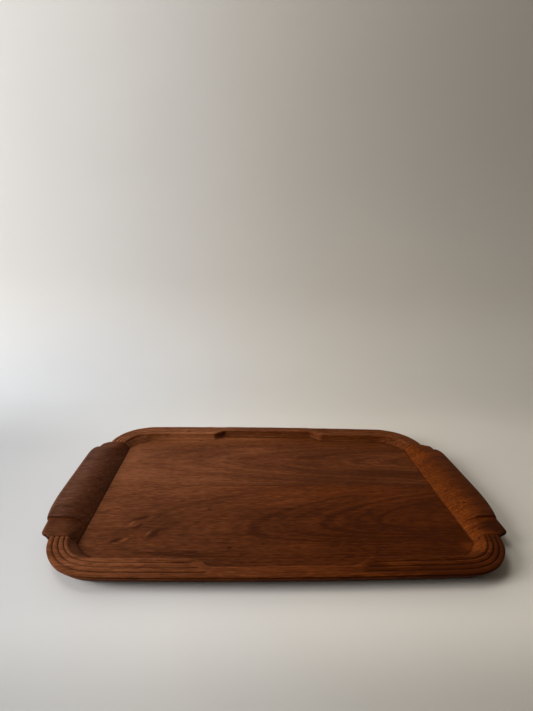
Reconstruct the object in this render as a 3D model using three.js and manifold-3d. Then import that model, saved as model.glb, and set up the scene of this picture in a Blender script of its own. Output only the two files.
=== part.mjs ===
// A carved wooden serving tray with two handles.
//
// Two boards with their grain along X are glued edge to edge over a loose tongue. The rim and the floor are
// carved in them. A handle block is let into a notch at each end and held by four dowels.
// X is the tray's length, Y its depth with the front at -Y, and Z is up from the table. Millimetres.

import * as THREE from 'three';
import { mergeVertices } from 'three/addons/utils/BufferGeometryUtils.js';
import Module from 'manifold-3d';

const { lerp, smoothstep } = THREE.MathUtils;

// Driving dimensions of the body
const bodyLength = 465; // end to end of the rim, under the handles
const bodyDepth = 320; // front to back at the middle
const sideBow = 2.5; // how far the long sides bow out at their middle
const cornerRadius = 59;
const rimHeight = 18; // from the table to the flat top of the rim
const floorThickness = 8.3;
const baseInset = 15; // the flat underside stops this far inside the rim's edge

// Driving dimensions of the rim
const plainRimWidth = 13.5; // the plain band in the middle of the long sides
const reedPitch = 6.1; // one reed and its groove, along the long sides
const endReedPitch = 5.15; // the same from the corners to the handles
const grooveDepth = 1.1;
const grooveHalfWidth = 0.75;
const reedCrown = 0.3; // how far a reed's rounded top falls to its grooves
const edgeRound = 0.8; // softening of the rim's two top edges
const cornerEdgeRound = 1.8; // the same of the inner edge round the corners
const cornerEdgeCrown = 0.8; // how far the innermost reed falls towards that edge
const plainHalfLength = 76; // from the middle of a long side to the middle of the S-curve
const ogeeLength = 20; // the S-curve between the plain band and the reeds, along X
const leafLead = 13; // the slanted stop of the grooves starts this far inside the S-curve's middle
const leafReach = 29; // how far the slanted stop runs along X across the reeds
const grooveFade = 5; // a groove shallows to nothing over this length
const sideCoveWidth = 3.4; // foot of the inner wall on the long sides
const endCoveWidth = 6.6; // foot of the inner wall beside the handles
const cornerCoveSwell = 3.2; // how much wider it gets on the way round a corner

// Driving dimensions of the rim's outer side
const quirkDrop = 1.7; // narrow groove under the top edge
const quirkDepth = 0.8;
const lipDrop = 3.3; // fullest part of the small bead under it
const lipDepth = 0.15;
const lipBottomDrop = 5.4; // where the bead ends and the underside slopes away
const lipBottomDepth = 0.9;

// Driving dimensions of a handle block, seen from above
const handleHalfLength = 103.5;
const gripFrontLength = 74; // the raised grip, from the block's middle to its front step
const gripBackLength = 84; // the same to its back step
const stepLength = 0.7; // the carved step between the grip and a lower end
const gripOverhang = 20; // the grip beyond the end of the rim
const gripFrontDrop = 7.7; // how far its outline curves in at the front step
const gripBackDrop = 4.5; // the same at the back step
const endRootOverhang = 12.1; // outline of a lower end beside the step
const endTipOverhang = 10.6; // the same at its tip
const frontTipRadius = 8;
const backTipRadius = 4;
const tipSetBack = 3; // the overhanging tips stand this far short of the block's ends
const tipSetBackRun = 8; // how far out from the end of the rim they stop curving away

// Driving dimensions of a handle block's section
const gripRise = 2.6; // the grip above the rim
const endRise = 0.4; // the lower ends above the rim
const footRun = 2; // the cove at the foot
const footLift = 1.2;
const shoulderRun = 12; // from the foot to where the roll turns over, at the grip
const crestRun = 32; // from the foot to where the roll is level, at the grip
const endShoulderRun = 3.5; // the same two at the block's ends
const endCrestRun = 13;
const edgeRun = 4.5; // rounded outer edge, across
const edgeFall = 3; // rounded outer edge, down
const gripThickness = 6.8; // the grip's edge, top to underside
const underRound = 1.4; // lower rounding of that edge
const gripRoot = 15; // the block's foot on the table, outwards from its joint

// Driving dimensions of the joints
const glueLineY = 5; // the edge joint between the boards lies a little behind the middle
const glueLine = 0.2; // thickness of every glue line
const tongueStop = 19.3; // wood between the tongue's end and the joint with a handle
const tongueWidth = 12;
const tongueThickness = 2.6;
const dowelRadius = 2;
const dowelEndDistance = 27.5; // from the middle of the outer dowels to the handle's ends
const dowelBoardDepth = 14;
const dowelCover = 4.6; // wood left between a dowel's hole and the finger recess
const cutOverrun = 5; // a cut runs this far past the wood it removes

// Counts
const reedCount = 4;
const cornerSteps = 12;
const ogeeSteps = 7;
const leafSteps = 4;
const plainSteps = 2;
const reededSteps = 2;
const rollSteps = 9;
const edgeSteps = 3;
const hollowSteps = 6;
const gripSteps = 7;
const endSteps = 4;
const tipSteps = 3;
const dowelSides = 16;
const dowelsPerHandle = 4;
const gripFrontPower = 4.2; // the higher, the straighter the grip and the quicker its end curves in
const gripBackPower = 18;

// Outlines as shares of the sizes that they follow
const bevelShares = [[1, 0], [0.62, 0.26], [0.27, 0.62]]; // underside, of its inset and height
const sideWallShares = [[0.03, 0.8], [0.1, 0.5], [0.34, 0.17], [1, 0]]; // inner wall, of its foot and height
const cornerWallShares = [[0.28, 0.74], [0.57, 0.45], [0.85, 0.13], [1, 0]];
const pitchTurnShare = 0.6; // the reeds have closed up this far round a corner
const coveTurnShare = 0.4; // the inner wall has leaned back this far round a corner
const hollowStartShare = 0.75; // the finger recess runs out from here on along the grip
const rollStartShare = 0.8; // the roll gets steeper from here on along the grip
const stationShare = 0.75; // closes up the sections towards the steps

// Sizes worked out from the dimensions above
const halfLength = bodyLength / 2;
const halfDepth = bodyDepth / 2;
const endRimWidth = reedCount * endReedPitch;
const jointX = halfLength - endRimWidth - endCoveWidth;
const ogeeStart = plainHalfLength - ogeeLength / 2;
const ogeeEnd = plainHalfLength + ogeeLength / 2;
const leafStart = plainHalfLength - leafLead;
const leafEnd = leafStart + leafReach;
const sideSlope = Math.atan2(2 * sideBow, halfLength - cornerRadius);
const cornerStartX = halfLength - cornerRadius + cornerRadius * Math.sin(sideSlope);
const cornerStartY = halfDepth - (cornerStartX * Math.tan(sideSlope)) / 2;
const cornerCentreY = cornerStartY - cornerRadius * Math.cos(sideSlope);
const tongueLength = 2 * (jointX - tongueStop);
const dowelSpacing = (2 * (handleHalfLength - dowelEndDistance)) / (dowelsPerHandle - 1);
const dowelBlockDepth = gripRoot - dowelCover;
const middleHeight = floorThickness / 2;
const frontEnd = {
  gripLength: gripFrontLength, drop: gripFrontDrop, power: gripFrontPower, tipRadius: frontTipRadius,
};
const backEnd = {
  gripLength: gripBackLength, drop: gripBackDrop, power: gripBackPower, tipRadius: backTipRadius,
};

const wasm = await Module();
wasm.setup();

// Helpers

// 0 before low, 1 after high, and a smooth S-curve between them
function smooth(low, high, value) {
  return smoothstep(value, low, high);
}

// A closed mesh as a solid that can be joined and cut
function solidOf(geometry) {
  const bare = geometry.index ? geometry.clone() : geometry;
  bare.deleteAttribute('normal');
  bare.deleteAttribute('uv');
  const merged = mergeVertices(bare);
  return new wasm.Manifold(new wasm.Mesh({
    numProp: 3,
    vertProperties: new Float32Array(merged.attributes.position.array),
    triVerts: new Uint32Array(merged.index.array),
  }));
}

// The mesh of a solid
function geometryOf(solid) {
  const mesh = solid.getMesh();
  const geometry = new THREE.BufferGeometry();
  geometry.setAttribute('position', new THREE.BufferAttribute(new Float32Array(mesh.vertProperties), 3));
  geometry.setIndex(new THREE.BufferAttribute(new Uint32Array(mesh.triVerts), 1));
  geometry.computeVertexNormals();
  return geometry;
}

// A box between two corners, as a solid for cutting
function boxBetween(low, high) {
  const size = new THREE.Vector3().subVectors(high, low);
  const middle = new THREE.Vector3().addVectors(low, high).multiplyScalar(1 / 2);
  return solidOf(new THREE.BoxGeometry(size.x, size.y, size.z).translate(middle.x, middle.y, middle.z));
}

// The same solid at the tray's other end
function mirrored(solid) {
  return solid.mirror([1, 0, 0]);
}

// Takes a list of cuts out of a solid
function cutAway(solid, cuts) {
  return cuts.reduce((rest, cut) => rest.subtract(cut), solid);
}

// A closed surface through rows of points, with its first and last row closed by the given triangles
function loft(rows, startTriangles, endTriangles) {
  const positions = rows.flat().flatMap((point) => [point.x, point.y, point.z]);
  const width = rows[0].length;
  const indices = [];
  for (let row = 0; row + 1 < rows.length; row += 1) {
    for (let column = 0; column < width; column += 1) {
      const next = (column + 1) % width;
      const lower = row * width;
      const upper = lower + width;
      indices.push(lower + column, lower + next, upper + next);
      indices.push(lower + column, upper + next, upper + column);
    }
  }
  const last = (rows.length - 1) * width;
  indices.push(...startTriangles, ...endTriangles.map((index) => last + index));
  const geometry = new THREE.BufferGeometry();
  geometry.setAttribute('position', new THREE.Float32BufferAttribute(positions, 3));
  geometry.setIndex(indices);
  return geometry;
}

// Outline of the rim, as places with the direction that points out of the tray

// A place on the bowed back side, x from its middle
function sidePlace(x) {
  const slope = (x / cornerStartX) * Math.tan(sideSlope);
  const y = halfDepth - (x * slope) / 2;
  return { x, y, out: new THREE.Vector2(slope, 1).normalize(), turn: 0 };
}

// A place on the back right corner, turning from the long side to the short one
function cornerPlace(share) {
  const angle = (Math.PI / 2 - sideSlope) * (1 - share);
  const out = new THREE.Vector2(Math.cos(angle), Math.sin(angle));
  return {
    x: halfLength - cornerRadius + cornerRadius * out.x,
    y: cornerCentreY + cornerRadius * out.y,
    out,
    turn: share,
  };
}

// A quarter of the outline, from the middle of the back to the right end
function quarterOutline() {
  const places = [];
  const spread = (from, to, steps) => {
    for (let step = 0; step < steps; step += 1) places.push(sidePlace(lerp(from, to, step / steps)));
  };
  spread(0, leafStart, plainSteps);
  spread(leafStart, ogeeEnd, ogeeSteps);
  spread(ogeeEnd, leafEnd + grooveFade, leafSteps);
  spread(leafEnd + grooveFade, cornerStartX, reededSteps);
  for (let step = 0; step <= cornerSteps; step += 1) places.push(cornerPlace(step / cornerSteps));
  return places;
}

// The whole outline, turning anticlockwise seen from above
function fullOutline() {
  const mirror = (place, signX, signY) => ({
    ...place,
    x: place.x * signX,
    y: place.y * signY,
    out: new THREE.Vector2(place.out.x * signX, place.out.y * signY),
    along: place.x,
  });
  const quarter = quarterOutline();
  const back = quarter.slice(1);
  return [
    ...quarter.map((place) => mirror(place, 1, -1)),
    ...back.toReversed().map((place) => mirror(place, 1, 1)),
    ...quarter.map((place) => mirror(place, -1, 1)),
    ...back.toReversed().map((place) => mirror(place, -1, -1)),
  ];
}

// Section of the rim

// Top of the rim at one place of the outline, from the outer edge inwards: crowned reeds, the grooves between
// them, and the slanted stop where both run out into the plain band
function reedSection({ along, turn }) {
  const pitch = lerp(reedPitch, endReedPitch, smooth(0, pitchTurnShare, turn));
  const rimWidth = lerp(plainRimWidth, reedCount * pitch, smooth(ogeeStart, ogeeEnd, along));
  const innerCrown = lerp(reedCrown, cornerEdgeCrown, smooth(0, coveTurnShare, turn));
  const points = [];
  const addPoint = (line, offset, drop) => {
    const stop = lerp(leafStart, leafEnd, line / reedCount);
    const parallel = smooth(stop - leafReach / 2, stop, along);
    const inset = lerp((rimWidth * line) / reedCount, pitch * line, parallel) + offset;
    points.push([inset, rimHeight - drop * smooth(stop, stop + grooveFade, along)]);
  };
  for (let reed = 0; reed < reedCount; reed += 1) {
    if (reed > 0) addPoint(reed, 0, grooveDepth);
    addPoint(reed, grooveHalfWidth, reedCrown);
    addPoint(reed + 1 / 2, 0, 0);
    addPoint(reed + 1, -grooveHalfWidth, reed + 1 < reedCount ? reedCrown : innerCrown);
  }
  return { points, rimWidth };
}

// The whole section as inset and height, from the base over the top to the floor
function rimSection(place) {
  const { points, rimWidth } = reedSection(place);
  const leaning = smooth(0, coveTurnShare, place.turn);
  const swell = cornerCoveSwell * Math.sin(Math.PI * place.turn);
  const coveWidth = lerp(sideCoveWidth, endCoveWidth, leaning) + swell;
  const lipBottom = rimHeight - lipBottomDrop;
  const wallTop = rimHeight - lerp(edgeRound, cornerEdgeRound, leaning);
  return [
    ...bevelShares.map(([insetShare, heightShare]) => [
      lerp(lipBottomDepth, baseInset, insetShare),
      lipBottom * heightShare,
    ]),
    [lipBottomDepth, lipBottom],
    [lipDepth, rimHeight - lipDrop],
    [quirkDepth, rimHeight - quirkDrop],
    [0, rimHeight - edgeRound],
    ...points,
    [rimWidth, wallTop],
    ...sideWallShares.map(([sideWidth, sideHeight], index) => {
      const [cornerWidth, cornerHeight] = cornerWallShares[index];
      const height = lerp(floorThickness, wallTop, lerp(sideHeight, cornerHeight, leaning));
      return [rimWidth + coveWidth * lerp(sideWidth, cornerWidth, leaning), height];
    }),
  ];
}

// The body in one piece before it is split into boards: the rim's section carried round the outline, with the
// flat base and the floor closed by triangles
function carvedBody() {
  const outline = fullOutline();
  const sections = outline.map(rimSection);
  const rings = sections[0].map((_, ring) => outline.map((place, index) => {
    const [inset, height] = sections[index][ring];
    return new THREE.Vector3(place.x - place.out.x * inset, place.y - place.out.y * inset, height);
  }));
  const triangles = (ring) => {
    const flat = ring.map((point) => new THREE.Vector2(point.x, point.y));
    return THREE.ShapeUtils.triangulateShape(flat, []);
  };
  const base = triangles(rings[0]).flatMap(([a, b, c]) => [c, b, a]);
  const floor = triangles(rings.at(-1)).flat();
  return solidOf(loft(rings, base, floor));
}

// Handle block, made at the right end

// Outline of the block: how far it reaches from the middle of the tray at a place along it
function handleReach(y) {
  const { gripLength, drop, power, tipRadius } = y < 0 ? frontEnd : backEnd;
  const distance = Math.abs(y);
  const along = (distance - gripLength) / (handleHalfLength - gripLength);
  const intoTip = Math.max(0, distance - (handleHalfLength - tipRadius));
  const rounding = tipRadius - Math.sqrt(Math.max(0, tipRadius ** 2 - intoTip ** 2));
  const grip = halfLength + gripOverhang - drop * (distance / gripLength) ** power;
  const end = halfLength + lerp(endRootOverhang, endTipOverhang, along) - rounding;
  return distance <= gripLength ? grip : end;
}

// Section of the block across the tray at a place along it, anticlockwise seen from the front. The ends are
// the same roll, less high, and the underside is level all along.
function handleSection(y) {
  const { gripLength } = y < 0 ? frontEnd : backEnd;
  const distance = Math.abs(y);
  const reach = handleReach(y);
  const inner = jointX + glueLine;
  const onEnd = smooth(gripLength, gripLength + stepLength, distance);
  const steeper = smooth(gripLength * rollStartShare, handleHalfLength, distance);
  const hollow = 1 - smooth(gripLength * hollowStartShare, handleHalfLength, distance);
  const top = rimHeight + lerp(gripRise, endRise, onEnd);
  const under = rimHeight + gripRise - gripThickness;
  const roll = new THREE.CubicBezierCurve(
    new THREE.Vector2(inner, floorThickness),
    new THREE.Vector2(inner + footRun, floorThickness + footLift),
    new THREE.Vector2(inner + lerp(shoulderRun, endShoulderRun, steeper), top),
    new THREE.Vector2(inner + lerp(crestRun, endCrestRun, steeper), top),
  );
  const edge = new THREE.EllipseCurve(reach - edgeRun, top - edgeFall, edgeRun, edgeFall, 0, Math.PI / 2);
  const lower = new THREE.EllipseCurve(
    reach - underRound,
    under + underRound,
    underRound,
    underRound,
    -Math.PI / 2,
    0,
  );
  const root = lerp(halfLength - baseInset, inner + gripRoot, hollow);
  const recess = new THREE.QuadraticBezierCurve(
    new THREE.Vector2(root, 0),
    new THREE.Vector2(lerp((root + reach) / 2, root, hollow), lerp(under / 2, under, hollow)),
    new THREE.Vector2(reach - underRound, under),
  );
  return [
    new THREE.Vector2(inner, 0),
    ...recess.getPoints(hollowSteps).slice(0, -1),
    ...lower.getPoints(edgeSteps),
    ...edge.getPoints(edgeSteps),
    ...roll.getPoints(rollSteps).toReversed(),
  ];
}

// Distances of the sections from the block's middle towards one end, closer together at the step and the tip
function handleDistances({ gripLength, tipRadius }) {
  const distances = [];
  for (let step = 1; step < gripSteps; step += 1) {
    distances.push(gripLength * (step / gripSteps) ** stationShare);
  }
  distances.push(gripLength);
  const tipStart = handleHalfLength - tipRadius;
  for (let step = 0; step < endSteps; step += 1) {
    distances.push(lerp(gripLength + stepLength, tipStart, step / endSteps));
  }
  for (let step = 0; step < tipSteps; step += 1) {
    distances.push(tipStart + tipRadius * Math.sin((Math.PI / 2) * (step / tipSteps)));
  }
  distances.push(handleHalfLength);
  return distances;
}

// How far along the block a point of its section lies: the overhanging tips curve away from the block's ends
function placeAlong(y, x) {
  const atTip = smooth(handleHalfLength - frontTipRadius, handleHalfLength, Math.abs(y));
  const beyondRim = smooth(halfLength, halfLength + tipSetBackRun, x);
  return y - Math.sign(y) * tipSetBack * atTip * beyondRim;
}

// The carved block as a loft of its sections from back to front
function handleBlock() {
  const toBack = handleDistances(backEnd).toReversed();
  const toFront = handleDistances(frontEnd).map((distance) => -distance);
  const rows = [...toBack, 0, ...toFront].map((y) => (
    handleSection(y).map((point) => new THREE.Vector3(point.x, placeAlong(y, point.x), point.y))
  ));
  const backCap = THREE.ShapeUtils.triangulateShape(handleSection(handleHalfLength), []);
  const frontCap = THREE.ShapeUtils.triangulateShape(handleSection(-handleHalfLength), []);
  return solidOf(loft(rows, backCap.flatMap(([a, b, c]) => [c, b, a]), frontCap.flat()));
}

// Joints

// A round bar along X between two places, for a dowel and for its hole
function barAlongX(fromX, toX, y, radius) {
  const bar = new THREE.CylinderGeometry(radius, radius, toX - fromX, dowelSides);
  bar.rotateZ(Math.PI / 2);
  bar.translate((fromX + toX) / 2, y, middleHeight);
  return bar;
}

// Places of the dowels along a handle
const dowelPlaces = Array.from({ length: dowelsPerHandle }, (_, index) => (
  (index - (dowelsPerHandle - 1) / 2) * dowelSpacing
));

// The dowels' holes, in the block and in the boards together
const dowelHoles = dowelPlaces.map((y) => solidOf(barAlongX(
  jointX - dowelBoardDepth - glueLine,
  jointX + dowelBlockDepth + glueLine,
  y,
  dowelRadius + glueLine,
)));

// The notch that takes a handle block
const handleNotch = boxBetween(
  new THREE.Vector3(jointX, -handleHalfLength - glueLine, -cutOverrun),
  new THREE.Vector3(halfLength + cutOverrun, handleHalfLength + glueLine, rimHeight + cutOverrun),
);

// The grooves for the loose tongue, in both boards together
const tongueGroove = boxBetween(
  new THREE.Vector3(
    -tongueLength / 2 - glueLine,
    glueLineY - tongueWidth / 2 - glueLine,
    middleHeight - tongueThickness / 2 - glueLine,
  ),
  new THREE.Vector3(
    tongueLength / 2 + glueLine,
    glueLineY + tongueWidth / 2 + glueLine,
    middleHeight + tongueThickness / 2 + glueLine,
  ),
);

const rightBlock = cutAway(handleBlock(), dowelHoles);
const endCuts = [handleNotch, ...dowelHoles];
const body = cutAway(carvedBody(), [...endCuts, ...endCuts.map(mirrored), tongueGroove]);

// The part of the body on one side of the glue line
function board(lowY, highY) {
  const reach = halfLength + cutOverrun;
  return body.intersect(boxBetween(
    new THREE.Vector3(-reach, lowY, -cutOverrun),
    new THREE.Vector3(reach, highY, rimHeight + cutOverrun),
  ));
}

// Finishes
const waxedWood = new THREE.MeshStandardMaterial({ color: 0x7a4526, roughness: 0.48, metalness: 0 });
const handleWood = new THREE.MeshStandardMaterial({ color: 0x6e3c21, roughness: 0.46, metalness: 0 });
const plainWood = new THREE.MeshStandardMaterial({ color: 0xb98d5e, roughness: 0.7, metalness: 0 });

const tray = new THREE.Group();

// Puts a named piece into the tray
function addPiece(name, geometry, material) {
  const mesh = new THREE.Mesh(geometry, material);
  mesh.name = name;
  tray.add(mesh);
  return mesh;
}

addPiece('front_board', geometryOf(board(-halfDepth - cutOverrun, glueLineY - glueLine / 2)), waxedWood);
addPiece('back_board', geometryOf(board(glueLineY + glueLine / 2, halfDepth + cutOverrun)), waxedWood);
addPiece('left_handle', geometryOf(mirrored(rightBlock)), handleWood);
addPiece('right_handle', geometryOf(rightBlock), handleWood);

const tongue = new THREE.BoxGeometry(tongueLength, tongueWidth, tongueThickness);
addPiece('joint_tongue', tongue, plainWood).position.set(0, glueLineY, middleHeight);

dowelPlaces.forEach((y, index) => {
  const near = jointX - dowelBoardDepth;
  const far = jointX + dowelBlockDepth;
  addPiece(`right_dowel_${index + 1}`, barAlongX(near, far, y, dowelRadius), plainWood);
  addPiece(`left_dowel_${index + 1}`, barAlongX(-far, -near, y, dowelRadius), plainWood);
});

export default tray;
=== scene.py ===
"""A carved wooden serving tray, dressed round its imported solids.

The two glued boards and the two handle blocks are rebuilt as fine carved surfaces in place of their plain
solids. The hidden dowels and the loose tongue keep their solids and get a finish. Sizes of the carving are in
millimetres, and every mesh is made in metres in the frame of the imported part.
"""

import logging
import math
from dataclasses import dataclass, replace
from enum import Enum
from typing import Any, Callable, Sequence, Union

import bmesh
import bpy
import numpy as np
from mathutils import Matrix


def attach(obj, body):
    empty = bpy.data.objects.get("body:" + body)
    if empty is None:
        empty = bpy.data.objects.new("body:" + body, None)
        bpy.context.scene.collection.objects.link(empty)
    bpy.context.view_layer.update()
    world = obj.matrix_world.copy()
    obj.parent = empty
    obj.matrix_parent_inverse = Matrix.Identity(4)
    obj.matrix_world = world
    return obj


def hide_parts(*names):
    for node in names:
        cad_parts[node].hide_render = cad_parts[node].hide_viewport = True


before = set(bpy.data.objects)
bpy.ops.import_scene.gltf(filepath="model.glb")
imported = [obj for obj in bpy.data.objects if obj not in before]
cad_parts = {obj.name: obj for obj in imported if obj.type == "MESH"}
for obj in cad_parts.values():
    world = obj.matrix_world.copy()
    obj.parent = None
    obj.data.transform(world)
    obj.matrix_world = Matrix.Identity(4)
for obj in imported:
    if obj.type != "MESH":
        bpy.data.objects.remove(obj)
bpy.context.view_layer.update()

LOG = logging.getLogger("tray")
MM = 0.001
BODY = "root"
PHOTO_SIZE = (533, 711)
HANDLE_HALF = 103.5  # half the length of a handle block
JOINT_GAP = 0.2  # stands for the glue between a block and the boards

Array = np.ndarray
Number = Union[float, "Value"]
Pair = tuple[float, float]
Triple = tuple[float, float, float]
Floats = tuple[float, ...]


class Half(Enum):
    """The front or the back board, by the sign of its Y."""

    FRONT = -1
    BACK = 1


class End(Enum):
    """The left or the right handle, by the sign of its X."""

    LEFT = -1
    RIGHT = 1


# Plain maths on arrays


def smooth(low: Any, high: Any, value: Any) -> Array:
    """Give 0 up to low, 1 from high on and the cubic S-curve 3t^2 - 2t^3 between them."""
    share = np.clip((np.asarray(value) - low) / (np.asarray(high) - low), 0, 1)
    return share * share * (3 - 2 * share)


def lerp(start: Any, end: Any, share: Any) -> Array:
    """Give the value at a share of the way from start to end."""
    return start + (end - start) * share


def bezier(points: Sequence[tuple[Any, Any]], shares: Array) -> tuple[Array, Array]:
    """Evaluate a Bezier curve by its Bernstein sum: each point times binomial(n, i) t^i (1 - t)^(n - i).

    Args:
        points: the curve's control points, of two coordinates each, which may be arrays of one column.
        shares: where along the curve, from 0 to 1.

    Returns:
        The two coordinates at those places.
    """
    degree = len(points) - 1
    weights = [math.comb(degree, i) * shares**i * (1 - shares) ** (degree - i) for i in range(degree + 1)]
    first, second = (sum(weight * part for weight, part in zip(weights, parts)) for parts in zip(*points))
    return first, second


def eased_through(knots: Sequence[float], values: Sequence[float], at: Array) -> Array:
    """Join values at rising knots with cubic S-curves, so that the line is level at every knot.

    Args:
        knots: places of the values, rising.
        values: the value at each knot.
        at: where to evaluate the line.

    Returns:
        The line's values there.
    """
    result = np.full_like(at, values[0])
    for start, end, low, high in zip(knots, knots[1:], values, values[1:]):
        result = result + (high - low) * smooth(start, end, at)
    return result


def ripple(along: Array, lengths: Sequence[float], seed: int) -> Array:
    """Give a slow unevenness as the mean of sine waves of the given lengths with seeded phases.

    Args:
        along: distance along the cut, in millimetres.
        lengths: wave lengths, in millimetres.
        seed: fixes the phases.

    Returns:
        Values between -1 and 1.
    """
    phases = np.random.default_rng(seed).uniform(0, math.tau, len(lengths))
    waves = [np.sin(along * math.tau / length + phase) for length, phase in zip(lengths, phases)]
    return sum(waves) / len(waves)


def hump(places: Sequence[float], value: Array) -> Array:
    """Rise smoothly from 0 to 1 between the first two of four places and fall back between the others."""
    return smooth(places[0], places[1], value) * (1 - smooth(places[2], places[3], value))


def circle_drop(past: Array, radius: Any) -> Array:
    """Give how far a quarter circle of that radius has dropped at a distance past its start."""
    past = np.clip(past, 0, radius)
    return radius - np.sqrt(radius**2 - past**2)


def side_by_side(widths: Sequence[int], parts: Sequence[Any]) -> Array:
    """Join tables or numbers side by side, each spread over its own width and as many rows as the tallest.

    Args:
        widths: how many columns each part takes.
        parts: the tables or numbers.

    Returns:
        The joined table.
    """
    rows = max(len(part) for part in parts if np.ndim(part))
    spread = [np.broadcast_to(part, (rows, width)) for part, width in zip(parts, widths)]
    return np.concatenate(spread, axis=1)


# Meshes


def in_scene(name: str, data: Any) -> bpy.types.Object:
    """Put a mesh, lamp or camera into the scene as a new object."""
    made = bpy.data.objects.new(name, data)
    bpy.context.scene.collection.objects.link(made)
    return made


def closed_grid(
    name: str,
    places: Array,
    caps: Sequence[Sequence[Sequence[int]]],
    marks: dict[str, Array],
    sharp_angle: float = 38.0,
) -> bpy.types.Object:
    """Make a closed object from a grid of places whose columns run round its section.

    The grid's faces join each place to its neighbours, and the last column joins the first.

    Args:
        name: the object's name.
        places: array of rows, columns and three coordinates, in millimetres.
        caps: for the first and for the last row, lists of columns that bound one flat face each.
        marks: named values for every place, which the finishes read.
        sharp_angle: edges that turn by more than this many degrees stay crisp.

    Returns:
        The object, in metres, with its faces pointing out.
    """
    rows, columns = places.shape[:2]
    index = np.arange(rows * columns).reshape(rows, columns)
    beside = np.roll(index, -1, axis=1)
    quads = np.stack([index[:-1], beside[:-1], beside[1:], index[1:]], axis=-1).reshape(-1, 4)
    faces = quads.tolist()
    for row, loops in zip((0, -1), caps):
        faces.extend(index[row, list(loop)].tolist() for loop in loops)
    mesh = bpy.data.meshes.new(name)
    mesh.from_pydata((places.reshape(-1, 3) * MM).tolist(), [], faces)
    for mark, values in marks.items():
        attribute = mesh.attributes.new(mark, "FLOAT", "POINT")
        attribute.data.foreach_set("value", np.clip(values, 0, 1).astype(np.float32).ravel())
    shell = bmesh.new()
    shell.from_mesh(mesh)
    bmesh.ops.recalc_face_normals(shell, faces=shell.faces)
    shell.to_mesh(mesh)
    shell.free()
    mesh.shade_smooth()
    mesh.set_sharp_from_angle(angle=math.radians(sharp_angle))
    return in_scene(name, mesh)


# Shader maths


def sign(operation: str, swapped: bool = False) -> Callable[["Value", Number], "Value"]:
    """Make the method of one arithmetic sign.

    Args:
        operation: what the Math node does.
        swapped: whether the other value comes first, as in the reflected forms.

    Returns:
        The method.
    """

    def method(self: "Value", other: Number) -> "Value":
        """Join this value and another one in a Math node."""
        return self.combine(operation, *((other, self) if swapped else (self, other)))

    return method


class Value:
    """One shader socket, which adds its Math nodes when it is used in a sum."""

    __add__, __radd__ = sign("ADD"), sign("ADD", swapped=True)
    __sub__, __rsub__ = sign("SUBTRACT"), sign("SUBTRACT", swapped=True)
    __mul__, __rmul__ = sign("MULTIPLY"), sign("MULTIPLY", swapped=True)
    __truediv__, __pow__ = sign("DIVIDE"), sign("POWER")

    def __init__(self, graph: "Graph", socket: bpy.types.NodeSocket) -> None:
        """Hold a socket of a graph."""
        self.graph = graph
        self.socket = socket

    def combine(self, operation: str, *values: Number) -> "Value":
        """Add a Math node on these values."""
        return self.graph.node("ShaderNodeMath", {"operation": operation}, dict(enumerate(values)))

    def __neg__(self) -> "Value":
        """Give -self."""
        return self.combine("MULTIPLY", self, -1)

    def exp(self) -> "Value":
        """Give e to the power of self."""
        return self.combine("EXPONENT", self)

    def rise(self, low: float, high: float) -> "Value":
        """Give a smooth 0 to 1 as self goes from low to high."""
        settings = {"interpolation_type": "SMOOTHSTEP"}
        inputs = {"Value": self, "From Min": low, "From Max": high}
        return self.graph.node("ShaderNodeMapRange", settings, inputs)


Place = tuple[Value, Value, Value]


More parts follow.
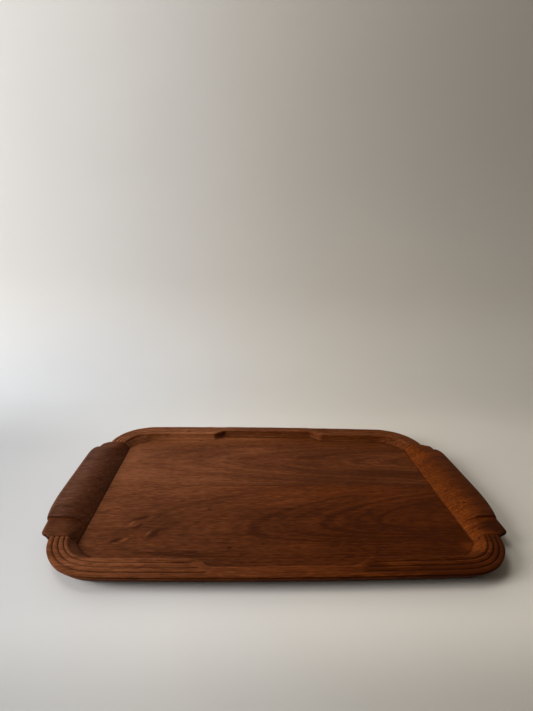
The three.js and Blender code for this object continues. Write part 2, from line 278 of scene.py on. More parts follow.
class Graph:
    """The node graph of one material."""

    def __init__(self, name: str) -> None:
        """Start an empty material of that name."""
        self.material = bpy.data.materials.new(name)
        self.material.use_nodes = True
        self.tree = self.material.node_tree
        self.tree.nodes.clear()

    def node(self, kind: str, settings: dict[str, Any], inputs: dict[Any, Any], output: Any = 0) -> Value:
        """Add a node.

        Args:
            kind: the node's type.
            settings: its properties, set first. The key "stops" fills a colour ramp.
            inputs: a value or a link for each socket, by its name or number.
            output: the socket to hand back, by its name or number.

        Returns:
            That output as a value.
        """
        made = self.tree.nodes.new(kind)
        for key, setting in settings.items():
            if key == "stops":
                self._fill_ramp(made.color_ramp, setting)
            else:
                setattr(made, key, setting)
        for key, given in inputs.items():
            if isinstance(given, Value):
                self.tree.links.new(given.socket, made.inputs[key])
            else:
                made.inputs[key].default_value = given
        return Value(self, made.outputs[output]) if len(made.outputs) else Value(self, made.inputs[0])

    @staticmethod
    def _fill_ramp(ramp: bpy.types.ColorRamp, stops: Sequence[tuple[float, Sequence[float]]]) -> None:
        """Set a colour ramp's stops."""
        while len(ramp.elements) < len(stops):
            ramp.elements.new(1)
        for element, (position, color) in zip(ramp.elements, stops):
            element.position = position
            element.color = (*color, 1)

    def object_axes(self) -> Place:
        """Give the piece's own X, Y and Z, in metres."""
        place = self.node("ShaderNodeTexCoord", {}, {}, "Object")
        return tuple(self.node("ShaderNodeSeparateXYZ", {}, {0: place}, axis) for axis in "XYZ")

    def line_noise(self, value: Value, scale: float, detail: float, roughness: float) -> Value:
        """Give a noise from 0 to 1 along one value."""
        inputs = {"W": value, "Scale": scale, "Detail": detail, "Roughness": roughness}
        return self.node("ShaderNodeTexNoise", {"noise_dimensions": "1D"}, inputs)

    def grain(
        self, place: Place, along: float, across: float, detail: float = 2.0, roughness: float = 0.5
    ) -> Value:
        """Give a noise from 0 to 1 with its own scale along X, the way of the fibres, and across them."""
        parts = (part * scale for part, scale in zip(place, (along, across, across)))
        vector = self.node("ShaderNodeCombineXYZ", {}, dict(enumerate(parts)))
        inputs = {"Vector": vector, "Scale": 1, "Detail": detail, "Roughness": roughness}
        return self.node("ShaderNodeTexNoise", {}, inputs)

    def mark(self, name: str) -> Value:
        """Read a named value that the mesh keeps."""
        return self.node("ShaderNodeAttribute", {"attribute_name": name}, {}, "Fac")

    def ramp(self, value: Value, stops: Sequence[tuple[float, Sequence[float]]]) -> Value:
        """Turn a value into a colour."""
        return self.node("ShaderNodeValToRGB", {"stops": stops}, {"Fac": value})

    def blend(
        self, share: Number, first: Union[Value, Triple], second: Union[Value, Triple], mode: str = "MIX"
    ) -> Value:
        """Mix two colours by a share, with one of the Mix node's modes."""
        settings = {"data_type": "RGBA", "blend_type": mode}
        first, second = (part if isinstance(part, Value) else (*part, 1) for part in (first, second))
        return self.node("ShaderNodeMix", settings, {0: share, 6: first, 7: second}, 2)

    def bump(self, height: Value, distance: float, strength: float) -> Value:
        """Turn a height from 0 to 1 into a normal, with its full height in metres."""
        inputs = {"Height": height, "Distance": distance, "Strength": strength}
        return self.node("ShaderNodeBump", {}, inputs)

    def surface(self, inputs: dict[str, Any]) -> bpy.types.Material:
        """Close the graph with a Principled shader on these inputs and hand back the material."""
        shader = self.node("ShaderNodeBsdfPrincipled", {}, inputs)
        self.node("ShaderNodeOutputMaterial", {}, {"Surface": shader})
        return self.material


# Finishes


@dataclass(frozen=True)
class Spot:
    """A small mark on the wood: where it is, how far it reaches each way, how deep it goes and its turn.

    Lengths are in millimetres and the turn in degrees, anticlockwise seen from above.
    """

    x: float
    y: float
    reach_x: float
    reach_y: float
    depth: float = 0.0
    turn: float = 0.0

    def share(self, x: Value, y: Value) -> Value:
        """Give 1 in the middle of the spot, falling off as a bell curve over its reach."""
        cosine, sine = math.cos(math.radians(self.turn)), math.sin(math.radians(self.turn))
        right, up = x - self.x * MM, y - self.y * MM
        along = (right * cosine + up * sine) / (self.reach_x * MM)
        across = (up * cosine - right * sine) / (self.reach_y * MM)
        return (-(along * along + across * across)).exp()


@dataclass(frozen=True)
class Ring:
    """One dark growth line: its distance from the heart of the tree, its half width and how dark it is."""

    radius: float
    width: float
    depth: float


@dataclass(frozen=True)
class Figure:
    """The growth rings of one piece, as cones round a heart line that climbs out of the wood on the right.

    A place's distance from the heart is the root of aside squared plus deep squared. Aside is how far it
    lies from the figure's axis, and deep how far under it the heart runs, which is nothing at heart_x. The
    rings therefore show as nested tongues that open to the right. Knots push them about.
    """

    axis_y: float
    axis_slope: float = 0.0
    heart_x: float = 290.0
    dip: float = 0.2
    near_stretch: float = 1.0  # how much closer together the rings lie in front of the axis
    sway: float = 7.0
    wander: float = 4.0
    knots: tuple[Spot, ...] = ()

    def radius(self, graph: Graph, place: Place) -> Value:
        """Give the distance from the heart, in metres."""
        x, y, z = place
        aside = y - (x * self.axis_slope + self.axis_y * MM)
        slow = graph.grain(place, 7, 16, 3) - 0.5
        stretch = 1 + (-aside).rise(-0.006, 0.008) * (self.near_stretch - 1)
        aside = aside * stretch + slow * (self.sway * MM)
        deep = (self.heart_x * MM - x) * self.dip + z
        radius = (aside * aside + deep * deep) ** 0.5
        for knot in self.knots:
            radius = radius + knot.share(x, y) * (knot.depth * MM)
        return radius + (graph.grain(place, 22, 120) - 0.5) * (self.wander * MM)


@dataclass(frozen=True)
class CarvedWood:
    """Waxed reddish-brown hardwood with growth rings, fibres, pores, dirt in its grooves and small dents.

    The grooves and hollows also get painted shade, the dents painted highlights and the worn places painted
    light. Each field that ends in share says how much one layer of the grain moves the tone.
    """

    name: str
    figure: Figure
    dark: Triple = (0.050, 0.0112, 0.0016)
    middle: Triple = (0.126, 0.0335, 0.0082)
    light: Triple = (0.245, 0.076, 0.0230)
    # The colour of pits, and of the dirt and painted shade in grooves and hollows.
    groove: Triple = (0.018, 0.0036, 0.0008)
    rubbed_and_painted_light: Triple = (1.45, 1.55, 1.75)  # how wear and its painted light change the colour, as factors
    # The tints paint the light's colour: cooler at the left, warmer at the right.
    left_tint: Triple = (1.0, 1.06, 1.22)
    right_tint: Triple = (1.0, 0.80, 0.34)
    roughness: float = 0.50
    gloss: float = 0.04
    relief: float = 0.12
    fade: float = 0.0  # how much darker the wood gets towards the right
    warmth: float = 1.0  # how much redder the painted light tint gets towards the right
    broad_share: float = 0.18
    narrow_share: float = 0.22
    cloud_share: float = 0.26
    band_share: float = 0.18
    streak_share: float = 0.41
    fibre_share: float = 0.56
    streaking: float = 1.0
    pore_share: float = 0.70
    dent_highlight_share: float = 0.70
    rings: tuple[Ring, ...] = ()
    # Stains, among them a few lighter patches of painted light.
    stains_and_painted_light: tuple[Spot, ...] = ()
    dents: tuple[Spot, ...] = ()
    pits: tuple[Spot, ...] = ()

    def _tone(self, graph: Graph, place: Place, fibres: Value) -> Value:
        """Give how light the wood is, round a half, before dirt and wear."""
        x, y, _ = place
        radius = self.figure.radius(graph, place)
        broad = graph.line_noise(radius, 55, 1, 0.5) - 0.5
        narrow = graph.line_noise(radius, 260, 2, 0.6) - 0.5
        bands = graph.grain(place, 5, 95) - 0.5
        streaks = graph.grain(place, 17, 400, 4, 0.74) - 0.5
        cloud = graph.grain(place, 10, 18) - 0.5
        tone = broad * self.broad_share + narrow * self.narrow_share + cloud * self.cloud_share + 0.5
        lines = bands * self.band_share + streaks * self.streak_share + fibres * self.fibre_share
        tone = tone + lines * self.streaking - x.rise(-0.17, 0.13) * self.fade
        broken = graph.grain(place, 18, 40).rise(0.30, 0.62)
        for ring in self.rings:
            off = (radius - ring.radius * MM) / (ring.width * MM)
            tone = tone - (-(off * off)).exp() * (broken * 0.7 + 0.3) * ring.depth
        for tone_spot in self.stains_and_painted_light:
            tone = tone - tone_spot.share(x, y) * tone_spot.depth
        return tone

    def build(self) -> bpy.types.Material:
        """Make the material.

        The tone picks the colour. It is then tinted by painted light from left to right, darkened by pores
        and by dirt and painted shade in the grooves and hollows, multiplied by wear and its painted light,
        and spotted by dents with painted highlights and by pits.

        Returns:
            The material.
        """
        graph = Graph(self.name)
        place = graph.object_axes()
        x, y, _ = place
        fibres = graph.grain(place, 95, 580, 2, 0.6) - 0.5
        tone = self._tone(graph, place, fibres)
        color = graph.ramp(tone, [(0.25, self.dark), (0.50, self.middle), (0.77, self.light)])
        # Painted light: the colour is tinted cooler at the left and warmer at the right.
        tint = graph.blend(x.rise(-0.16, 0.14) * self.warmth, self.left_tint, self.right_tint)
        color = graph.blend(1, color, tint, "MULTIPLY")
        pores = graph.grain(place, 85, 460, 1).rise(0.62, 0.68)
        patch = graph.grain(place, 12, 60).rise(0.35, 0.65)
        pores = pores * (patch * 0.7 + 0.3)
        color = graph.blend(pores * self.pore_share, color, self.dark)
        # Dirt and painted shade darken the hollows; wear and painted light multiply the colour.
        hollow = graph.mark("hollow")
        color = graph.blend(hollow, color, self.groove)
        worn_and_painted_light = graph.mark("worn_and_painted_light")
        color = graph.blend(1, color, graph.blend(worn_and_painted_light, (1, 1, 1), self.rubbed_and_painted_light), "MULTIPLY")
        height = fibres * 0.5 - pores * 0.5 + 0.5
        # Each dent gets a painted highlight in the light colour.
        for dent in self.dents:
            share = dent.share(x, y)
            color = graph.blend(share * self.dent_highlight_share, color, self.light)
            height = height + share * dent.depth
        for pit in self.pits:
            color = graph.blend(pit.share(x, y), color, self.groove)
        inputs = {
            "Base Color": color,
            "Roughness": self.roughness + fibres * 0.2 + hollow * 0.2 - worn_and_painted_light * 0.06,
            "Normal": graph.bump(height, self.relief * MM, 0.7),
            "Specular IOR Level": self.gloss,
        }
        return graph.surface(inputs)


@dataclass(frozen=True)
class PlainWood:
    """Unfinished pale hardwood, as dowels and tongues are cut from."""

    name: str
    light: Triple = (0.52, 0.33, 0.17)
    dark: Triple = (0.34, 0.19, 0.09)

    def build(self) -> bpy.types.Material:
        """Make the material."""
        graph = Graph(self.name)
        place = graph.object_axes()
        fibres = graph.grain(place, 40, 1400, 3, 0.6)
        bands = graph.grain(place, 6, 260)
        color = graph.ramp(fibres * 0.5 + bands * 0.5, [(0.3, self.dark), (0.7, self.light)])
        roughness = 0.72 + (fibres - 0.5) * 0.2
        normal = graph.bump(fibres, 0.1 * MM, 0.5)
        return graph.surface({"Base Color": color, "Roughness": roughness, "Normal": normal})


# The tray's body


@dataclass(frozen=True)
class Outline:
    """Places along the rim's edge, the way out of the tray there and how far they are round the corner."""

    place: Array
    out: Array
    turn: Array


@dataclass(frozen=True)
class RimShape:
    """The carved rim: a plain band that widens through an S-curve to reeds, and its bead and underside.

    An ogee is the S-curve, a leaf the slanted line where the reeds start, a cove the inner wall and a quirk
    the small groove above the bead. The walls give the two inner points of the cove's Bezier curve, as shares
    of its width and height. Dirt with painted shade, and wear with painted sheen, go from 0 to 1. The places
    count the sections and their columns.
    """

    length: float = 465.0
    depth: float = 320.0
    bow: float = 2.5
    corner_radius: float = 59.0
    height: float = 18.0
    floor: float = 8.3
    base_inset: float = 15.0
    plain_width: float = 13.5
    pitches: Pair = (6.1, 5.15)  # of the reeds, at the side and at the end
    pitch_turn: float = 0.6
    groove_depth: float = 1.1
    groove_half: float = 0.75
    crown: float = 0.3
    rounds: Pair = (0.8, 3.4)  # of the rim's edges, at the side and round the corner
    round_stretch: float = 1.1
    plain_half: float = 76.0
    ogee_length: float = 20.0
    ogee_round: float = 1.7
    ogee_round_reach: Floats = (-2.0, 7.0, 10.0, 22.0)
    leaf_lead: float = 13.0
    leaf_reach: float = 29.0
    groove_fade: float = 5.0
    coves: Pair = (3.4, 6.6)
    cove_turn: float = 0.4
    corner_swell: float = 3.2
    swell_ends: Pair = (0.80, 0.95)
    side_wall: Floats = (0.35, 0.0, 0.0, 0.35)
    corner_wall: Floats = (0.80, 0.03, 0.36, 0.86)
    side_drops: Floats = (0.8, 1.7, 3.3, 5.4)
    side_insets: Floats = (0.0, 1.1, 0.2, 2.2)
    under_bend: float = 0.38
    reeds: int = 4
    # Dirt with painted shade in the grooves, painted shade at the wall's foot, on the quirk, the side and the
    # underside, and wear with painted sheen on the top.
    dirt_and_shade: float = 0.8
    dirt_and_shade_power: float = 0.8
    foot_painted_shade: float = 0.5
    foot_shade_height: float = 0.9
    quirk_half: float = 0.9
    side_painted_shade: float = 0.65
    side_shade_reach: Pair = (3.5, 4.8)
    under_painted_shade: float = 0.6
    wear_and_sheen: float = 0.5
    outline_places: tuple[int, ...] = (24, 72, 44, 92)
    section_places: tuple[int, ...] = (18, 22, 14)
    reed_places: tuple[int, ...] = (7, 13, 15)

    @property
    def joint_x(self) -> float:
        """Give the place of the joint with a handle block."""
        return self.length / 2 - self.reeds * self.pitches[1] - self.coves[1]

    def quarter(self, notch_y: float) -> Outline:
        """Give the outline from the middle of the back to the notch for the handle.

        The long side is a parabola that sinks by the bow, and the corner is an arc that starts along it.

        Args:
            notch_y: where the notch begins.

        Returns:
            The outline of the back right quarter.
        """
        slope = math.atan2(2 * self.bow, self.length / 2 - self.corner_radius)
        start_x = self.length / 2 - self.corner_radius + self.corner_radius * math.sin(slope)
        start_y = self.depth / 2 - start_x * math.tan(slope) / 2
        centre_y = start_y - self.corner_radius * math.cos(slope)
        leaf_end = self.plain_half - self.leaf_lead + self.leaf_reach + self.groove_fade
        carved_start = self.plain_half - self.ogee_length
        stretches = zip((0, carved_start, leaf_end), (carved_start, leaf_end, start_x), self.outline_places)
        side_x = np.concatenate([np.linspace(*stretch, endpoint=False) for stretch in stretches])
        side_slope = side_x / start_x * math.tan(slope)
        side = np.stack([side_x, self.depth / 2 - side_x * side_slope / 2], axis=1)
        side_out = np.stack([side_slope, np.ones_like(side_x)], axis=1) / np.hypot(side_slope, 1)[:, None]
        full = math.pi / 2 - slope
        last = math.asin((notch_y - centre_y) / self.corner_radius)
        angle = np.linspace(full, last, self.outline_places[-1])
        corner_out = np.stack([np.cos(angle), np.sin(angle)], axis=1)
        centre = np.array([self.length / 2 - self.corner_radius, centre_y])
        return Outline(
            place=np.concatenate([side, centre + self.corner_radius * corner_out]),
            out=np.concatenate([side_out, corner_out]),
            turn=np.concatenate([0 * side_x, 1 - angle / full]),
        )

    def _top_columns(self) -> dict[str, Array]:
        """Give the columns of the rim's top, from its inner to its outer edge.

        A column lies at a share of the way between two of the lines that part the reeds, moved by an offset.
        An edge is a quarter circle, a reed's crown a parabola and a groove two parabolas that meet.

        Returns:
            For every column its two lines, share and offset, and its drops by crown, groove and edge.
        """
        arc_places, reed_places, groove_places = self.reed_places
        arc = np.linspace(0, math.pi / 2, arc_places)[1:]
        across = np.linspace(0, 1, reed_places)[1:]
        away = np.linspace(1, -1, groove_places)[1:]
        half, crown = self.groove_half, self.crown
        parts = [(self.reeds, self.reeds, 0, half * (np.cos(arc) - 1), crown * np.sin(arc), 0, 0)]
        for line in range(self.reeds, 0, -1):
            bow = 2 * across - 1
            parts.append((line, line - 1, across, half * bow, crown * bow**2, 0, 0))
            if line > 1:
                cut = (self.groove_depth - crown) * (1 - np.abs(away)) ** 2
                parts.append((line - 1, line - 1, 0, half * away, crown, cut, 0))
        outer_edge = (0, 0, 0, half * (1 - np.sin(arc)), crown * np.cos(arc), 0)
        parts.append((*outer_edge, self.rounds[0] * (1 - np.cos(arc))))
        columns = np.concatenate([np.stack(np.broadcast_arrays(*part)) for part in parts], axis=1)
        return dict(zip(("from", "to", "share", "offset", "crown", "groove", "edge"), columns))

    def section(self, edge: Outline) -> tuple[Array, ...]:
        """Give the rim's section at every place of an outline, from its foot over the top to the base.

        The inner wall is a Bezier curve that leans back at the corners. A groove's depth fades at the slanted
        line where the reeds stop. The side eases through its bead, and the underside is a Bezier curve.

        Args:
            edge: the outline.

        Returns:
            Inset from the edge, height, dirt with painted shade, and wear with painted sheen, each with a row
            for every place of the outline.
        """
        along = edge.place[:, :1]
        turn = edge.turn[:, None]
        pitch = lerp(*self.pitches, smooth(0, self.pitch_turn, turn))
        ogee_start = self.plain_half - self.ogee_length / 2
        full_width = smooth(ogee_start, ogee_start + self.ogee_length, along)
        width = lerp(self.plain_width, self.reeds * pitch, full_width)
        leaning = smooth(0, self.cove_turn, turn)
        swell = self.corner_swell * np.sin(math.pi * turn) * (1 - smooth(*self.swell_ends, turn))
        cove = lerp(*self.coves, leaning) + swell
        on_ogee = hump([ogee_start + reach for reach in self.ogee_round_reach], along)
        rounding = lerp(*self.rounds, leaning) + self.ogee_round * on_ogee
        wall_columns, side_columns, under_columns = self.section_places

        bends = [lerp(side, corner, leaning) for side, corner in zip(self.side_wall, self.corner_wall)]
        wall = [(1, 0), (bends[0], bends[1]), (bends[2], bends[3]), (0, 1)]
        wall_share, wall_rise = bezier(wall, np.linspace(0, 1, wall_columns)[None, :])
        wall_inset = width + cove * wall_share
        wall_height = lerp(self.floor, self.height - rounding, wall_rise)
        # Painted shade at the foot of the wall, where it meets the floor.
        foot = np.clip(1 - (wall_height - self.floor) / self.foot_shade_height, 0, 1) * self.foot_painted_shade

        line = np.arange(self.reeds + 1)[None, :]
        stop = self.plain_half - self.leaf_lead + self.leaf_reach * line / self.reeds
        parallel = smooth(stop - self.leaf_reach / 2, stop, along) * (line < self.reeds)
        line_inset = lerp(width * line / self.reeds, pitch * line, parallel)
        line_open = smooth(stop, stop + self.groove_fade, along)
        top = self._top_columns()
        first, second = top["from"].astype(int), top["to"].astype(int)
        top_inset = lerp(line_inset[:, first], line_inset[:, second], top["share"]) + top["offset"]
        top_open = lerp(line_open[:, first], line_open[:, second], top["share"])
        top_height = self.height - top_open * (top["crown"] + top["groove"]) - top["edge"]
        edge_width = self.round_stretch * rounding
        inward = np.clip((top_inset - width + edge_width) / edge_width, 0, 1)
        top_height = top_height - rounding * (1 - np.sqrt(1 - inward**2))
        groove_share = top["groove"] / (self.groove_depth - self.crown)
        # Dirt with painted shade in the grooves, and wear with painted sheen on the reeds' tops and the plain
        # band.
        dirt_and_shade = self.dirt_and_shade * top_open * groove_share**self.dirt_and_shade_power
        rubbed_and_painted_light = self.wear_and_sheen * (1 - top_open * np.minimum(top["crown"] / self.crown, 1))

        drop = np.linspace(self.side_drops[0], self.side_drops[-1], side_columns)[None, 1:]
        side_inset = eased_through(self.side_drops, self.side_insets, drop)
        # Painted shade on the quirk and down the side below the bead.
        quirk = np.clip(1 - np.abs(drop - self.side_drops[1]) / self.quirk_half, 0, 1)
        shaded = np.maximum(quirk, self.side_painted_shade * smooth(*self.side_shade_reach, drop))

        # The underside gets painted shade.
        under = [(0, 1), (self.under_bend, self.under_bend), (1, 0)]
        under_share, under_rise = bezier(under, np.linspace(0, 1, under_columns)[None, 1:])
        under_inset = lerp(self.side_insets[-1], self.base_inset, under_share)
        under_height = (self.height - self.side_drops[-1]) * under_rise

        widths = (wall_columns, len(first), side_columns - 1, under_columns - 1)
        layers = (
            (wall_inset, top_inset, side_inset, under_inset),
            (wall_height, top_height, self.height - drop, under_height),
            (foot, dirt_and_shade, shaded, self.under_painted_shade),
            (0, rubbed_and_painted_light, 0, 0),
        )
        return tuple(side_by_side(widths, layer) for layer in layers)


@dataclass
class CarvedBoard:
    """One of the two glued boards, with its half of the floor and the rim."""

    half: Half
    rim: RimShape
    finish: CarvedWood
    right_ogee_length: float = 20.0
    glue_y: float = 5.0
    glue_line: float = 0.06
    seam_half: float = 0.4
    seam_dirt: Pair = (0.09, 0.22)  # where the seam hardly shows, and where it does
    seam_seen: Floats = (-180.0, -140.0, 60.0, 120.0)
    squaring: float = 0.75  # from here on round the corner, the sections turn to meet the handle
    calm: float = 12.0  # no waver this near to the ends
    waver: tuple[Any, ...] = ((23.0, 41.0, 67.0, 112.0), 11, 0.28)  # wave lengths, seed and size
    lift: tuple[Any, ...] = ((31.0, 58.0, 97.0), 23, 0.10)
    waver_above: float = 1.0  # the waver starts this far above the floor
    floor_rows: int = 44
    base_rows: int = 7

    def build(self) -> bpy.types.Object:
        """Make the board in place of its solid.

        Its surface is one grid. A row follows the section at one place of the outline, from the glue line
        over the floor, the rim and the underside and back to the glue line.

        Returns:
            The finished board.
        """
        side = self.half.value
        left = self._quarter(self.rim)
        right = self._quarter(replace(self.rim, ogee_length=self.right_ogee_length))
        x, y, z, hollow, worn_and_painted_light = (
            np.concatenate([first[::-1], second[1:]]) for first, second in zip(left, right)
        )
        x[: len(left[0])] *= -1
        y *= side

        edge_y = self.glue_y + side * self.glue_line / 2
        share = np.linspace(0, 1, self.floor_rows, endpoint=False)[None, :]
        floor_y = lerp(edge_y, y[:, :1], share)
        base_y = lerp(y[:, :1], edge_y, np.linspace(0, 1, self.base_rows)[None, :])
        seam = np.clip(1 - np.abs(floor_y - edge_y) / self.seam_half, 0, 1)
        seam = seam * lerp(*self.seam_dirt, hump(self.seam_seen, x[:, :1]))
        widths = (self.floor_rows, x.shape[1], self.base_rows)
        layers = (
            (x[:, :1], x, x[:, :1]),
            (floor_y, y, base_y),
            (self.rim.floor, z, 0),
            (seam, hollow, 0),
            (0, worn_and_painted_light, 0),
        )
        *axes, hollow, worn_and_painted_light = (side_by_side(widths, layer) for layer in layers)
        first = self.floor_rows
        last = first + widths[1]
        loops = [[*range(first, last + 1)], [*range(first + 1), *range(last, sum(widths))]]
        name = f"{self.half.name.lower()}_board"
        marks = {"hollow": hollow, "worn_and_painted_light": worn_and_painted_light}
        board = closed_grid(f"{name}_carved", np.stack(axes, axis=-1), (loops, loops), marks)
        board.data.materials.append(self.finish.build())
        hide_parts(name)
        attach(board, BODY)
        return board

    def _quarter(self, rim: RimShape) -> tuple[Array, ...]:
        """Give one quarter of the rim, from the middle of the side to the handle's notch.

        Its top gets the slight waver of cuts made by hand, of a few tenths of a millimetre.

        Args:
            rim: the rim's shape in that quarter.

        Returns:
            The places' X, Y and Z, their dirt and painted shade, and their wear and painted light.
        """
        notch_y = HANDLE_HALF + JOINT_GAP
        edge = rim.quarter(notch_y)
        inset, height, hollow, worn_and_painted_light = rim.section(edge)
        places = edge.place[:, None] - edge.out[:, None] * inset[..., None]
        near_end = smooth(self.squaring, 1, edge.turn / edge.turn[-1])[:, None]
        places[..., 1] += (notch_y - places[-1, :, 1]) * near_end

        steps = np.diff(edge.place, axis=0, prepend=edge.place[:1])
        walked = np.cumsum(np.hypot(*steps.T))
        fade = hump((0, self.calm, walked[-1] - self.calm, walked[-1]), walked)
        waver, lift = (
            (ripple(walked, lengths, seed + self.half.value) * fade * size)[:, None]
            for lengths, seed, size in (self.waver, self.lift)
        )
        on_top = smooth(self.rim.floor + self.waver_above, self.rim.height, height)
        places += edge.out[:, None] * (waver * on_top)[..., None]
        x, y = places[..., 0], np.where(near_end == 1, notch_y, places[..., 1])
        return x, y, height + lift * on_top, hollow, worn_and_painted_light


@dataclass(frozen=True)
class GripEnd:
    """How the block ends towards the front or the back: grip's length, drop and power of its outline, tip."""

    length: float
    drop: float
    power: float
    tip: float


@dataclass(frozen=True)
class Course:
    """What the handle's sections need to know at every station along the block, as columns of numbers."""

    y: Array
    away: Array
    length: Array
    on_end: Array
    steeper: Array
    hollow: Array
    top: Array
    reach: Array


@dataclass
class HandleBlock:
    """A carved handle block: a raised grip between two lower stepped ends, rolled over from floor to edge.

    The pairs from rises to crest_runs hold for the grip and for its lower ends. Painted shade, and wear with
    its painted light, go from 0 to 1, and their pairs say where they start and where they are full.
    """

    end: End
    rim: RimShape
    finish: CarvedWood
    overhang: float = 0.0
    back_wear_and_light: float = 1.0
    half: float = HANDLE_HALF
    front: GripEnd = GripEnd(74, 6.5, 3.4, 7)
    back: GripEnd = GripEnd(84, 4.5, 18, 4)
    step: float = 0.7
    grip_overhang: float = 20.0
    end_root_overhang: float = 13.3
    end_tip_overhang: float = 11.9
    tip_set_back: float = 3.4
    tip_set_back_run: float = 6.5
    tip_run: float = 15.0
    rises: Pair = (2.6, 0.4)
    foot_runs: Pair = (2.0, 2.4)
    foot_lifts: Pair = (1.2, 0.3)
    shoulder_runs: Pair = (12.0, 6.0)
    crest_runs: Pair = (32.0, 14.0)
    steeper_from: float = 0.8  # the roll gets steeper from this share of the grip on
    recess_ends_from: float = 0.75  # and the finger recess runs out from this one on
    edge_run: float = 4.5
    edge_fall: float = 3.0
    thickness: float = 6.8
    under_round: float = 1.4
    root_run: float = 15.0
    arris: float = 0.9
    arris_fall: float = 0.6
    # These paint shade along the step, at the foot and on the ends' faces.
    step_painted_shade: float = 0.8
    step_shade_half: float = 0.8
    step_shade_run: Pair = (8.0, 22.0)
    step_shade_rise: Pair = (2.0, 0.3)  # the height it grows over, and its value at the rim
    foot_painted_shade: float = 0.6
    foot_painted_shade_height: float = 1.2
    face_painted_shade: float = 0.95
    face_shade_reach: Pair = (1.6, 0.4)
    face_shade_drop: Pair = (0.5, 1.6)
    wear_and_light_run: Pair = (9.0, 6.0)  # where wear and painted light start, and how far inside the edge they are full
    back_wear_and_light_from: Pair = (-50.0, 70.0)
    end_wear_and_light_loss: float = 0.7
    margin: float = 1.0  # painted shade ends this far under the underside, wear and painted light are full this far under the top
    near_step: float = 14.0
    close_to_step: float = 1.2
    stations: tuple[int, ...] = (44, 18, 14, 18, 18)
    section_places: tuple[int, ...] = (26, 10, 10, 56)

    def _stations(self, end: GripEnd) -> Array:
        """Give the distances of the sections from the middle to one end, closer at the step and the tip."""
        near, close = end.length - self.near_step, end.length - self.close_to_step
        past = end.length + self.step + self.close_to_step
        tip_starts = self.half - end.tip
        stretches = zip((0, near, close, past), (near, close, past, tip_starts), self.stations)
        straight = [np.linspace(*stretch, endpoint=False) for stretch in stretches]
        tip = tip_starts + end.tip * np.sin(np.linspace(0, math.pi / 2, self.stations[-1]))
        return np.concatenate([*straight, tip])

    def _course(self) -> Course:
        """Work out the block's outline, its height and how it changes towards its ends.

        The grip's outline falls off by a high power of the distance from its middle. The lower end's runs
        straight to a tip rounded by a quarter circle. Every arris is softened by a quarter circle too.

        Returns:
            The values at every station.
        """
        y = np.concatenate([-self._stations(self.front)[::-1], self._stations(self.back)[1:]])[:, None]
        away = np.abs(y)
        length, drop, power, tip = (
            np.where(y < 0, getattr(self.front, name), getattr(self.back, name))
            for name in ("length", "drop", "power", "tip")
        )
        on_end = smooth(length, length + self.step, away)
        rim_end = self.rim.length / 2 + self.overhang
        grip = rim_end + self.grip_overhang - drop * np.minimum(away / length, 1) ** power
        share = (away - length) / (self.half - length)
        stub = rim_end + lerp(self.end_root_overhang, self.end_tip_overhang, share)
        stub = stub - circle_drop(away - (self.half - tip), tip)
        soften = circle_drop(away - (length - self.arris), self.arris) * (away <= length)
        soften = soften + circle_drop(away - (self.half - self.arris), self.arris)
        return Course(
            y=y,
            away=away,
            length=length,
            on_end=on_end,
            steeper=smooth(length * self.steeper_from, self.half, away),
            hollow=1 - smooth(length * self.recess_ends_from, self.half, away),
            top=self.rim.height + lerp(*self.rises, on_end) - soften * self.arris_fall,
            reach=lerp(grip, stub, on_end),
        )

    def build(self) -> bpy.types.Object:
        """Make the block in place of its solid.

        Its surface is one grid: a row for each section along the block, and a column for each place round the
        section, which is made of Bezier curves and quarter ellipses. The lower ends are the same roll, less
        high, and the step between them runs at a slant.

        Returns:
            The finished block.
        """
        course = self._course()
        top, reach, steeper, hollow = course.top, course.reach, course.steeper, course.hollow
        inner = self.rim.joint_x + JOINT_GAP
        floor = self.rim.floor
        root = lerp(self.rim.length / 2 - self.rim.base_inset, inner + self.root_run, hollow)
        under = self.rim.height + self.rises[0] - self.thickness
        round_x, edge_x = reach - self.under_round, reach - self.edge_run
        crest_x = inner + lerp(*self.crest_runs, steeper)
        recess = [
            (root, 0),
            (lerp((root + reach) / 2, root, hollow), lerp(under / 2, under, hollow)),
            (round_x, under),
        ]
        roll = [
            (inner, floor),
            (inner + lerp(*self.foot_runs, steeper), floor + lerp(*self.foot_lifts, steeper)),
            (inner + lerp(*self.shoulder_runs, steeper), top),
            (crest_x, top),
        ]
        recess_places, round_places, level_places, roll_places = self.section_places
        angle = np.linspace(0, math.pi / 2, round_places)[None, :]
        cosine, sine = np.cos(angle), np.sin(angle)
        stretches = (
            (inner, 0),
            bezier(recess, np.linspace(0, 1, recess_places)[None, :-1]),
            (round_x + self.under_round * sine, under + self.under_round * (1 - cosine)),
            (edge_x + self.edge_run * cosine, top - self.edge_fall + self.edge_fall * sine),
            (lerp(edge_x, crest_x, np.linspace(0, 1, level_places)[None, 1:-1]), top),
            bezier(roll, np.linspace(1, 0, roll_places)[None, :]),
        )
        widths = (1, recess_places - 1, round_places, round_places, level_places - 2, roll_places)
        x, z = (side_by_side(widths, parts) for parts in zip(*stretches))
        beyond_rim = smooth(self.rim.length / 2, self.rim.length / 2 + self.tip_set_back_run, x)
        at_tip = smooth(self.half - self.tip_run, self.half, course.away)
        y = course.y - np.sign(course.y) * self.tip_set_back * at_tip * beyond_rim
        places = np.stack([x * self.end.value, y, z], axis=-1)
        name = f"{self.end.name.lower()}_handle"
        loops = [range(x.shape[1])]
        marks = self._marks(course, x - inner, z, under)
        block = closed_grid(f"{name}_carved", places, (loops, loops), marks)
        block.data.materials.append(self.finish.build())
        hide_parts(name)
        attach(block, BODY)
        return block

